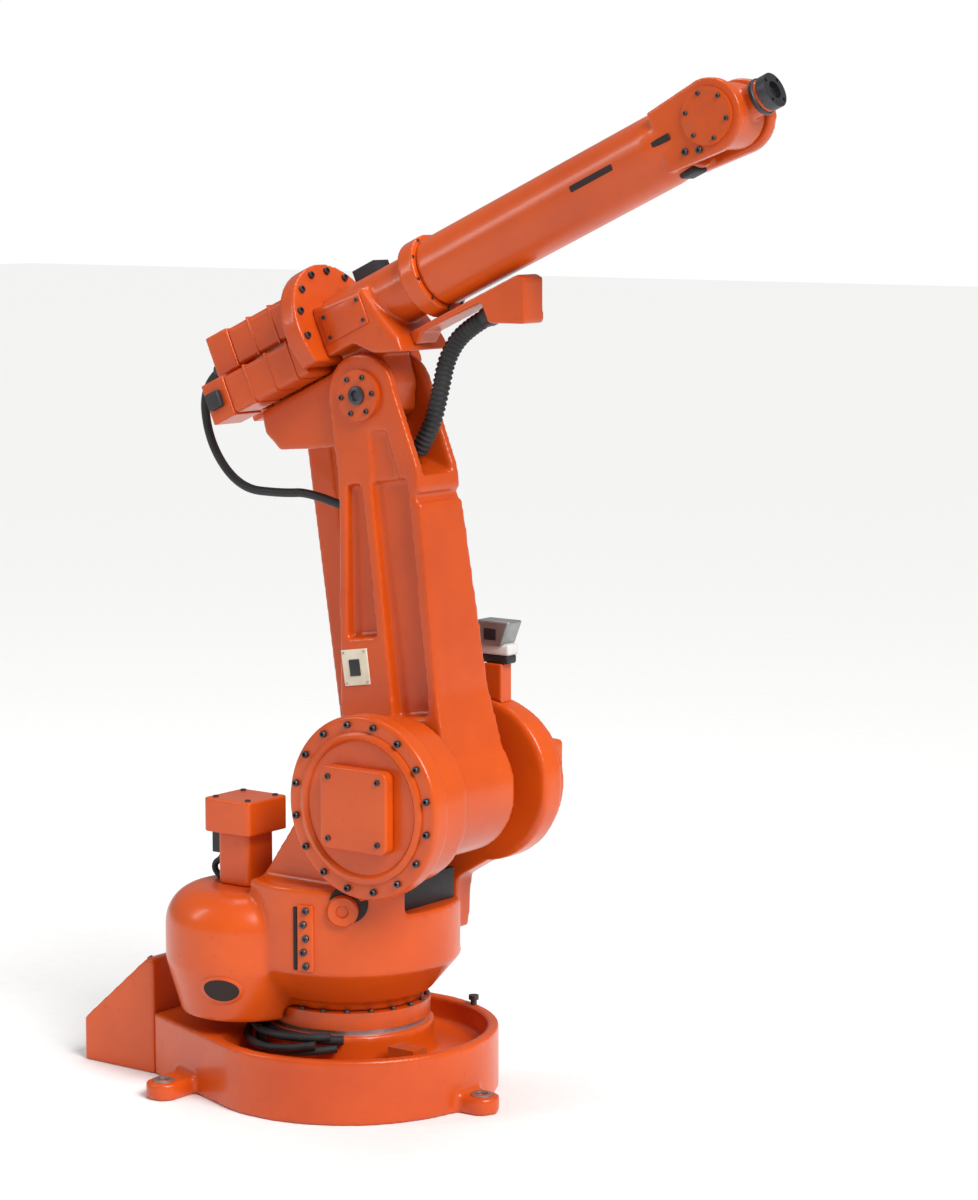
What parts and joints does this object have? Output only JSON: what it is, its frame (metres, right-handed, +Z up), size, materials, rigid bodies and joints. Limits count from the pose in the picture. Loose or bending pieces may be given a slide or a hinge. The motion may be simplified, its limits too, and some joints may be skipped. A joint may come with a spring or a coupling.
{
  "type": "industrial robot arm",
  "caption": "Floor-standing industrial robot arm with parallel-linkage elbow, turning base, long tubular forearm, bending wrist and a small tool flange.",
  "frame": {"origin": "on the floor under the first axis, at the centre of the base's underside", "axes": "+Z up along the first axis, +X forward, the way the arm reaches, +Y to the arm's left"},
  "size_m": [1.2016, 0.5369, 1.5305],
  "materials": {
    "orange_paint": "glossy orange paint",
    "machined_steel": "machined, lightly oiled",
    "dark_steel": "dark burnished",
    "black_rubber": "matt",
    "black_plastic": "moulded",
    "grey_metal": "cast connector shell",
    "cream_plate": "plain enamelled plate"
  },
  "bodies": {
    "base": {"base_casting": "orange_paint", "cable_box": "orange_paint", "base_lid": "orange_paint", "base_connectors": "black_plastic", "stop_block": "orange_paint", "rim_knob": "dark_steel", "bearing_ring": "machined_steel", "base_cables": "black_rubber"},
    "frame": {"turntable": "orange_paint", "frame_casting": "orange_paint", "motor1": "orange_paint", "motor1_head": "orange_paint", "motor1_connector": "black_plastic", "gearbox2": "orange_paint", "motor2_cover": "orange_paint", "gearbox3": "orange_paint", "motor3": "orange_paint", "cable_bracket": "orange_paint", "motor3_connector": "grey_metal", "hose_guard": "black_rubber"},
    "lower_arm": {"lower_arm_casting": "orange_paint", "elbow_shaft": "machined_steel", "elbow_cap_near": "orange_paint", "elbow_cap_far": "orange_paint", "rating_plate": "cream_plate"},
    "crank": {"crank_arm": "orange_paint", "crank_pin": "machined_steel"},
    "tie_rod": {"tie_rod": "orange_paint"},
    "upper_arm": {"arm_housing": "orange_paint", "link_pin": "machined_steel", "gear_plate": "orange_paint", "motor4": "orange_paint", "motor5": "orange_paint", "motor6": "orange_paint", "motor_caps": "orange_paint", "collar": "orange_paint", "top_connector": "black_plastic", "chin_bracket": "orange_paint", "rear_cable": "black_rubber", "elbow_hose": "black_rubber"},
    "forearm": {"arm_tube": "orange_paint", "wrist_cover_near": "orange_paint", "wrist_cover_far": "orange_paint"},
    "wrist": {"wrist_housing": "orange_paint"},
    "tool_flange": {"tool_flange": "dark_steel"}
  },
  "joints": [
    {"name": "axis_1_turn", "type": "hinge", "parent": "base", "child": "frame", "pos_m": [0, 0, 0.1], "axis": [0, 0, 1], "range_deg": [-170, 170]},
    {"name": "axis_2_lower_arm", "type": "hinge", "parent": "frame", "child": "lower_arm", "pos_m": [0.15, 0, 0.475], "axis": [0, 1, 0], "range_deg": [-61.4, 78.6]},
    {"name": "axis_3_upper_arm", "type": "hinge", "parent": "lower_arm", "child": "upper_arm", "pos_m": [0.06028, 0, 1.06825], "axis": [0, -1, 0], "range_deg": [-45, 40], "deforming": ["rear_cable", "elbow_hose"]},
    {"name": "crank_turn", "type": "hinge", "parent": "lower_arm", "child": "crank", "pos_m": [0.15, 0, 0.475], "axis": [0, -1, 0], "range_deg": [-45, 40]},
    {"name": "tie_rod_turn", "type": "hinge", "parent": "crank", "child": "tie_rod", "pos_m": [-0.0625, 0, 0.41806], "axis": [0, 1, 0], "range_deg": [-45, 40]},
    {"name": "axis_4_tube", "type": "hinge", "parent": "upper_arm", "child": "forearm", "pos_m": [0.01109, 0, 1.17771], "axis": [0.9121, 0, 0.4099], "range_deg": [-150, 150]},
    {"name": "axis_5_bend", "type": "hinge", "parent": "forearm", "child": "wrist", "pos_m": [0.66782, 0, 1.47285], "axis": [0, 1, 0], "range_deg": [-115, 115]},
    {"name": "axis_6_flange", "type": "hinge", "parent": "wrist", "child": "tool_flange", "pos_m": [0.74535, 0, 1.5077], "axis": [0.9121, 0, 0.4099], "range_deg": [-300, 300]}
  ],
  "couplings": [
    {"joint": "crank_turn", "follows": "axis_3_upper_arm", "ratio": 1},
    {"joint": "tie_rod_turn", "follows": "axis_3_upper_arm", "ratio": 1}
  ]
}
